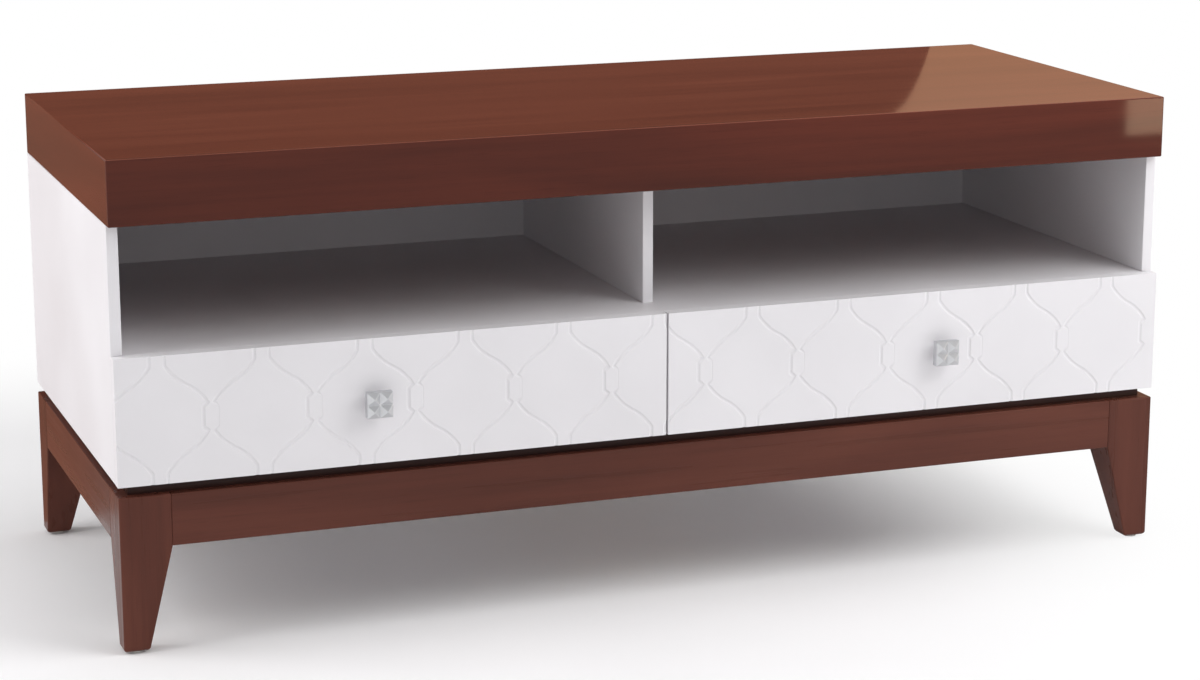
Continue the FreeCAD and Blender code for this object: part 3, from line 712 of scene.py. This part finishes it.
def paint_cad_nodes():
    for node, thing in frame["nodes"].items():
        if thing.hide_render:
            continue
        finish = NODE_FINISH.get(node)
        for ending, material in ENDING_FINISH.items():
            if node.endswith(ending):
                finish = material
        thing.data.materials.clear()
        thing.data.materials.append(finish)


# Stage: white all round, a pale floor, boards for the gloss to reflect, and lamps
AMBIENT = 0.51
FLOOR_REACH = 40.0
FLOOR_DROP = 0.2 * MM
FLOOR_MOTTLE, FLOOR_PLACES = (3, 3, 3), (0.3, 0.7)
FLOOR_SHADES = (srgb(249, 248, 249), srgb(252, 251, 252))
FLOOR_ROUGH = 0.9
# Where the floor runs out to white: a middle, and the distances from it where that starts and ends.
# To the eye it lies left of the part's middle, so white is painted over the shadow under the right end sooner
SEEN_FADE = ((-0.45, 0.0, 0.0), 0.70, 1.25)
GLOSS_FADE = ((0.0, 0.0, 0.0), 0.8, 1.9)


def white_to_eye(tree, lit, white, seen_share=None, gloss_share=None):
    """Mixes in plain white where the camera, a reflection or a see-through ray looks, or a share of it."""
    rays = add(tree, "ShaderNodeLightPath")
    looks = []
    for kind, share in (("Camera", seen_share), ("Glossy", gloss_share), ("Transmission", gloss_share)):
        look = rays.outputs[f"Is {kind} Ray"]
        looks.append(worked_out(tree, "MULTIPLY", look, share) if share else look)
    amount = looks[0]
    for look in looks[1:]:
        amount = worked_out(tree, "MAXIMUM", amount, look)
    blend = add(tree, "ShaderNodeMixShader")
    tree.links.new(amount, blend.inputs[0])
    tree.links.new(lit, blend.inputs[1])
    tree.links.new(white, blend.inputs[2])
    return blend.outputs[0]


def build_world():
    world = bpy.data.worlds.new("studio")
    bpy.context.scene.world = world
    world.use_nodes = True
    tree = world.node_tree
    lit = tree.nodes["Background"]
    white = add(tree, "ShaderNodeBackground")
    for light, strength in ((lit, AMBIENT), (white, 1.0)):
        light.inputs["Color"].default_value = PLAIN_WHITE
        light.inputs["Strength"].default_value = strength
    shader = white_to_eye(tree, lit.outputs[0], white.outputs[0])
    tree.links.new(shader, tree.nodes["World Output"].inputs["Surface"])


def floor_fade(tree, middle, start, end):
    """How far the floor has run out to white, between two distances from a point."""
    distance = add(tree, "ShaderNodeVectorMath", operation="DISTANCE")
    distance.inputs[1].default_value = middle
    tree.links.new(add(tree, "ShaderNodeTexCoord").outputs["Object"], distance.inputs[0])
    share = spread(tree, distance.outputs["Value"], 0, 1, start, end)
    share.node.interpolation_type = "SMOOTHSTEP"
    return share


def build_floor():
    """Pale floor that keeps the shadow under the part and runs out to white further off, with white painted
    over the shadow under the part's right end.
    """
    shape = bmesh.new()
    bmesh.ops.create_grid(shape, x_segments=1, y_segments=1, size=FLOOR_REACH)
    for corner in shape.verts:
        corner.co.z = -FLOOR_DROP
    floor = bpy.data.objects.new("floor", mesh_of("floor", shape))
    bpy.context.scene.collection.objects.link(floor)
    material, tree, shader = new_finish("pale_floor")
    uneven_colour(tree, shader, noise(tree, FLOOR_MOTTLE, detail=2), FLOOR_PLACES, FLOOR_SHADES)
    shader.inputs["Roughness"].default_value = FLOOR_ROUGH
    shader.inputs["Specular IOR Level"].default_value = 0.0
    glow = add(tree, "ShaderNodeEmission")
    glow.inputs["Color"].default_value = PLAIN_WHITE
    glow.inputs["Strength"].default_value = 1.0
    blended = white_to_eye(tree, shader.outputs[0], glow.outputs[0],
                           floor_fade(tree, *SEEN_FADE), floor_fade(tree, *GLOSS_FADE))
    tree.links.new(blended, tree.nodes["Material Output"].inputs["Surface"])
    floor.data.materials.append(material)


# Glowing boards round the part that only reflections see, outlined in X and Z and placed along Y; they are no
# lamps and paint the reflections seen in the gloss
BOARD_REACH = 2.2
BOARD_HEIGHT = 1.7
BACK_BOARD_PLACE = 0.70
# The bowed edge between the dark and the tan board paints the curved edge of the reflection seen in the top
BOWED_EDGE = (
    (0.815, 0.0), (0.805, 0.621), (0.796, 0.648), (0.787, 0.67), (0.776, 0.692), (0.763, 0.711),
    (0.748, 0.725), (0.69, 0.797), (0.56, 1.7),
)
# The brown board paints a brown reflection into the slab's left face
BROWN_BOARD = ((-1.1, 0.0), (-0.652, 0.0), (-0.652, 0.60), (-1.1, 0.60))
BROWN_BOARD_PLACE = 0.30
# A small warm panel that glows, no lamp, and paints the highlight of a softbox into the gloss
GLOWING_PANEL = ((0.985, 0.39), (1.25, 0.39), (1.25, 0.60), (0.985, 0.60))
GLOWING_PANEL_PLACE = -0.9
GLOWING_PANEL_STRENGTH = 10.0
# The grey card paints darker reflections into the upper faces of the knobs
GREY_CARD = ((-1.4, 1.4), (2.2, 1.4), (2.2, 4.8), (-1.4, 4.8))
GREY_CARD_PLACE = -1.8

# Shades the boards glow with at their foot and above it, painted into the reflections, and the heights between
# which they change
DARK = (srgb(104, 72, 63), srgb(62, 54, 53))
TAN = (srgb(192, 147, 116), srgb(192, 155, 128))
BROWN = (srgb(155, 112, 94),) * 2
WARM = (srgb(255, 222, 190),) * 2
GREY = (srgb(166, 166, 168),) * 2
FOOT_TOP = (0.61, 0.73)

# Where a board runs out to white: an axis, the last place in full colour and the first in white
BACK_RUNS_OUT = (("Z", 0.85, 1.5), ("X", 1.3, 2.0), ("X", -0.78, -1.1))
CARD_RUNS_OUT = (("Z", 1.8, 1.4), ("Z", 3.9, 4.8), ("X", 1.4, 2.2), ("X", -0.6, -1.4))


def reflection_board(name, outline, place, shades, runs_out=(), strength=1.0):
    """An upright glowing board seen in gloss only, a painted reflection, that changes shade from the foot up
    and runs out to white.
    """
    shape = bmesh.new()
    shape.faces.new([shape.verts.new((x, place, z)) for x, z in outline])
    board = bpy.data.objects.new(name, mesh_of(name, shape))
    bpy.context.scene.collection.objects.link(board)
    material, tree, _ = new_finish(name)
    glow = add(tree, "ShaderNodeEmission")
    glow.inputs["Strength"].default_value = strength
    spot = add(tree, "ShaderNodeSeparateXYZ")
    tree.links.new(add(tree, "ShaderNodeTexCoord").outputs["Object"], spot.inputs[0])
    colour = mixed(tree, spread(tree, spot.outputs["Z"], 0, 1, *FOOT_TOP), *shades)
    for axis, full, gone in runs_out:
        colour = mixed(tree, spread(tree, spot.outputs[axis], 0, 1, full, gone), colour, PLAIN_WHITE)
    tree.links.new(colour, glow.inputs["Color"])
    tree.links.new(glow.outputs[0], tree.nodes["Material Output"].inputs["Surface"])
    board.data.materials.append(material)
    board.visible_camera = False
    board.visible_diffuse = False
    board.visible_transmission = False
    board.visible_volume_scatter = False
    board.visible_shadow = False


def build_reflection_boards():
    """Glowing boards that paint reflections: behind the part a dark board gives way to a tan one at a bowed
    edge; a brown one stands at the left.
    """
    dark = [(-BOARD_REACH, 0), *BOWED_EDGE, (-BOARD_REACH, BOARD_HEIGHT)]
    tan = [(BOARD_REACH, BOARD_HEIGHT), *BOWED_EDGE[::-1], (BOARD_REACH, 0)]
    reflection_board("dark_board", dark, BACK_BOARD_PLACE, DARK, BACK_RUNS_OUT)
    reflection_board("tan_board", tan, BACK_BOARD_PLACE, TAN, BACK_RUNS_OUT)
    reflection_board("brown_board", BROWN_BOARD, BROWN_BOARD_PLACE, BROWN, BACK_RUNS_OUT)
    reflection_board("glowing_panel_painted_highlight", GLOWING_PANEL, GLOWING_PANEL_PLACE, WARM, strength=GLOWING_PANEL_STRENGTH)
    reflection_board("grey_card", GREY_CARD, GREY_CARD_PLACE, GREY, CARD_RUNS_OUT)


# Lamps: place, point aimed at, size and watts
SOFTBOXES = {
    "overhead_softbox": ((1.2, -0.6, 2.6), (0.2, -0.1, 0.3), (2.4, 2.2), 23),
    "left_softbox": ((-2.6, 0.1, 1.7), (-0.5, 0.0, 0.3), (2.0, 1.6), 34),
    "front_softbox": ((1.6, -1.7, 1.9), (0.3, 0.0, 0.3), (1.6, 1.2), 18),
    "right_softbox": ((2.3, -0.5, 0.9), (0.4, -0.05, 0.1), (1.4, 1.0), 8),
}


def build_lamps():
    for name, (place, aim, size, watts) in SOFTBOXES.items():
        data = bpy.data.lights.new(name, "AREA")
        data.shape = "RECTANGLE"
        data.size, data.size_y = size
        data.energy = watts
        lamp = bpy.data.objects.new(name, data)
        lamp.location = place
        lamp.rotation_euler = (Vector(aim) - Vector(place)).to_track_quat("-Z", "Y").to_euler()
        lamp.visible_glossy = False
        bpy.context.scene.collection.objects.link(lamp)


# Camera
IMAGE_WIDTH = 1200
SENSOR_WIDTH = 36.0
FOCAL_PIXELS = 2967.83
CAMERA_PLACE = (-1.241352, -3.372280, 1.110773)
CAMERA_YAW = 0.354120
CAMERA_PITCH = 0.233963


def build_camera():
    data = bpy.data.cameras.new("photo_camera")
    data.sensor_fit = "HORIZONTAL"
    data.sensor_width = SENSOR_WIDTH
    data.lens = FOCAL_PIXELS * SENSOR_WIDTH / IMAGE_WIDTH
    camera = bpy.data.objects.new("photo_camera", data)
    camera.location = CAMERA_PLACE
    camera.rotation_euler = (math.pi / 2 - CAMERA_PITCH, 0, -CAMERA_YAW)
    bpy.context.scene.collection.objects.link(camera)
    bpy.context.scene.camera = camera


build_top()
build_boards()
build_drawer_fronts()
build_screws()
paint_cad_nodes()
build_world()
build_floor()
build_reflection_boards()
build_lamps()
build_camera()
bpy.context.scene.view_settings.view_transform = "Standard"
